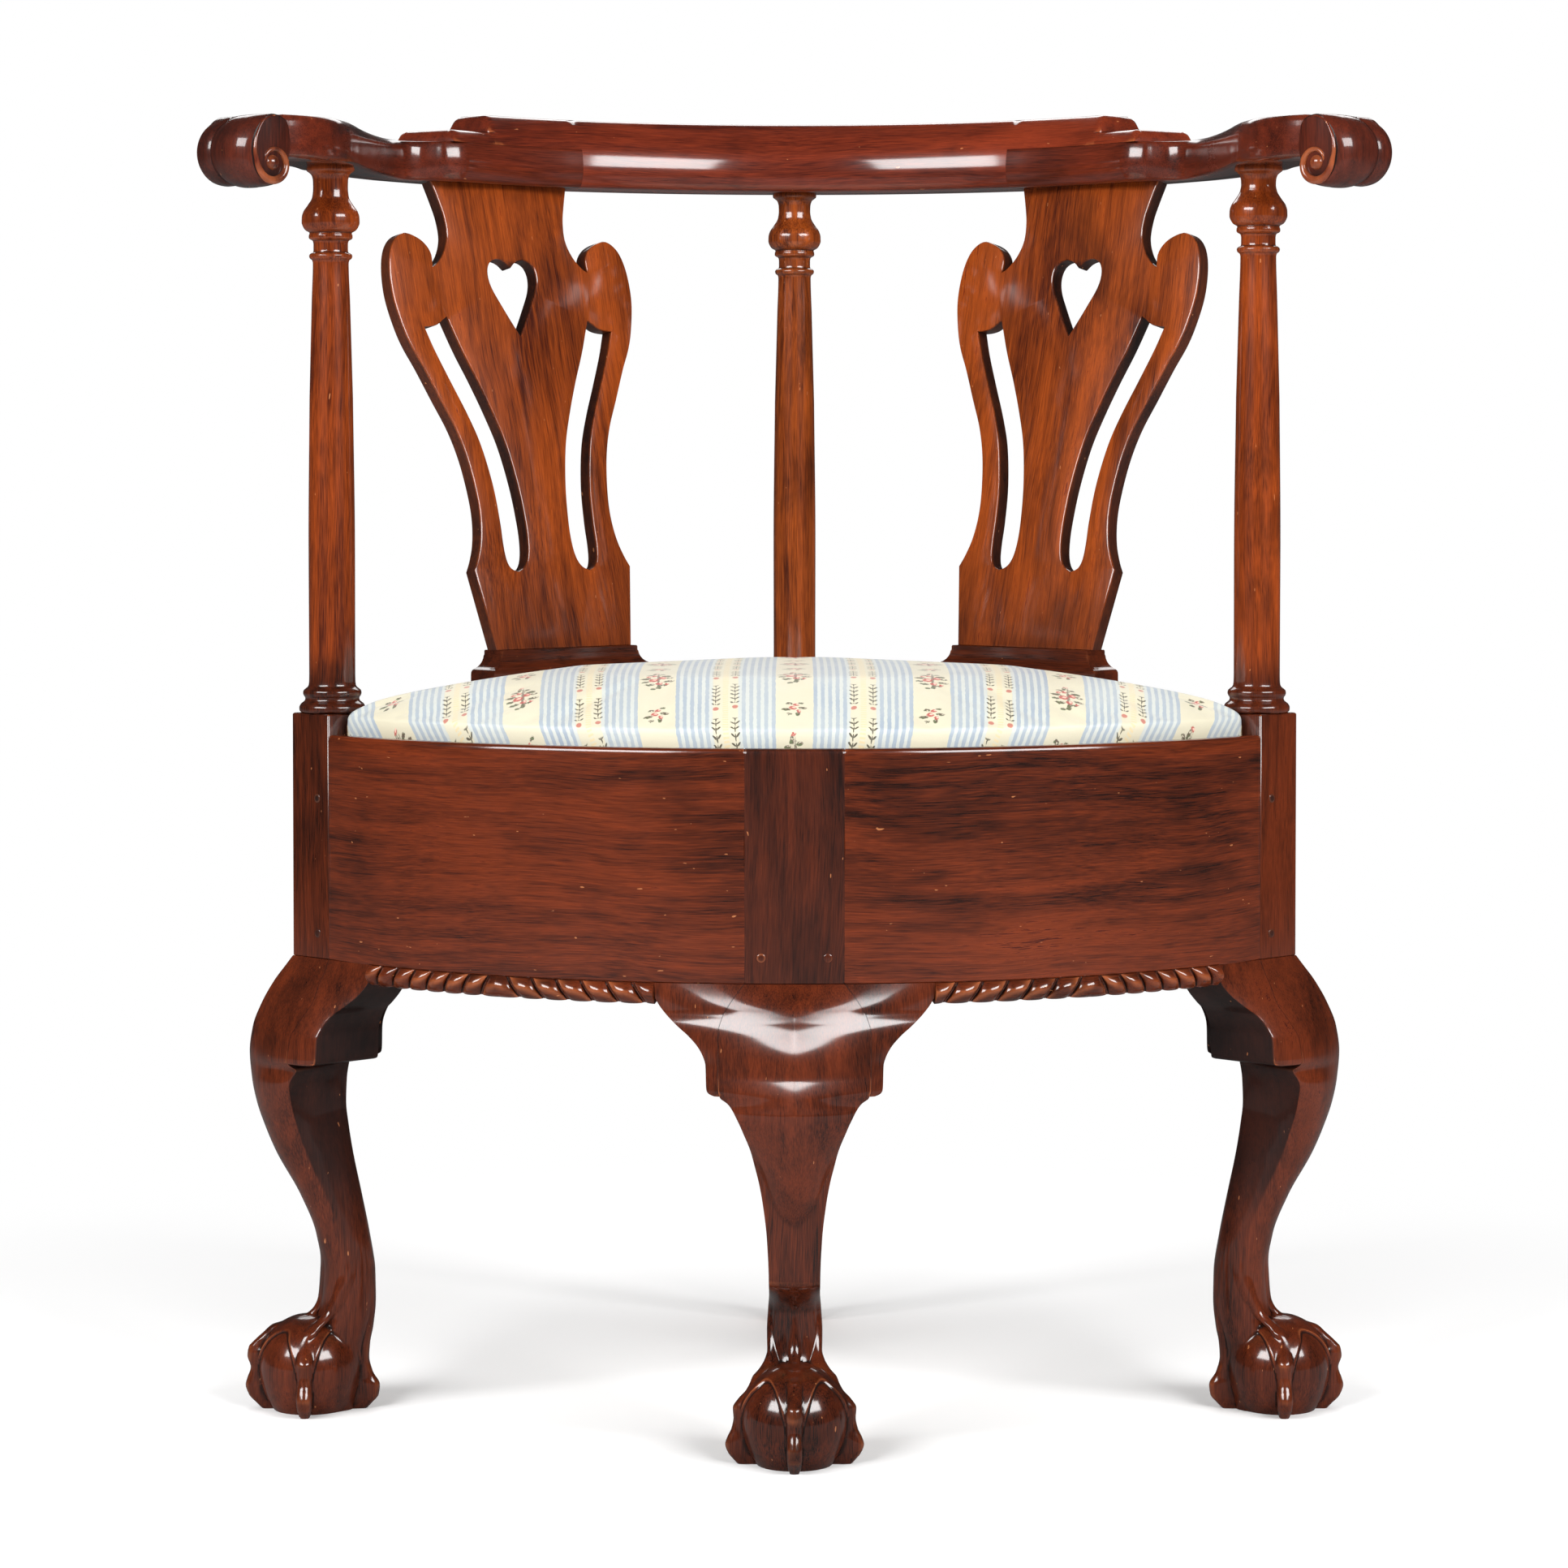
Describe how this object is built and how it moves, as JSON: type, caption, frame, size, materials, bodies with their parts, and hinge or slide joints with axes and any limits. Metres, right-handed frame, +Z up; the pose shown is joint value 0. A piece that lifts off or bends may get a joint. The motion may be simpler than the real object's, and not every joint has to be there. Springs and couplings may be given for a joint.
{
  "type": "corner chair",
  "caption": "Corner chair with three cabriole claw-and-ball legs, turned posts, pierced heart splats, a bowed arm and crest rail, and a striped drop-in seat.",
  "frame": {"origin": "middle of the chair's bounding box on the floor", "axes": "+Z up; -Y towards the front leg, so the back of the chair is on +Y; +X to the right of a viewer who faces the front leg"},
  "size_m": [0.6942, 0.491, 0.793],
  "materials": {
    "walnut": "polished dark reddish walnut",
    "secondary_wood": "plain unpolished pine",
    "silk": "striped satin silk",
    "hair_stuffing": "curled hair under calico",
    "webbing": "woven jute strap",
    "canvas": "coarse linen"
  },
  "bodies": {
    "chair": {"arm_left": "walnut", "arm_right": "walnut", "crest_dowels": "walnut", "crest_rail": "walnut", "front_bracket_left": "walnut", "front_bracket_right": "walnut", "front_leg": "walnut", "front_leg_pegs": "walnut", "front_rail_left": "walnut", "front_rail_right": "walnut", "gadroon_left": "walnut", "gadroon_right": "walnut", "glue_block_front": "secondary_wood", "glue_block_left": "secondary_wood", "glue_block_rear": "secondary_wood", "glue_block_right": "secondary_wood", "left_bracket_front": "walnut", "left_bracket_rear": "walnut", "left_leg": "walnut", "left_leg_pegs": "walnut", "rear_leg": "walnut", "rear_leg_pegs": "walnut", "rear_rail_left": "walnut", "rear_rail_right": "walnut", "right_bracket_front": "walnut", "right_bracket_rear": "walnut", "right_leg": "walnut", "right_leg_pegs": "walnut", "shoe_left": "walnut", "shoe_right": "walnut", "splat_left": "walnut", "splat_right": "walnut"},
    "slip_seat": {"seat_canvas": "canvas", "seat_cover": "silk", "seat_rail_front_left": "secondary_wood", "seat_rail_front_right": "secondary_wood", "seat_rail_rear_left": "secondary_wood", "seat_rail_rear_right": "secondary_wood", "seat_stuffing": "hair_stuffing", "seat_webbing": "webbing"}
  },
  "joints": [
    {"name": "seat_lift", "type": "slide", "parent": "chair", "child": "slip_seat", "axis": [0, 0, 1], "range_m": [0, 0.12]}
  ]
}
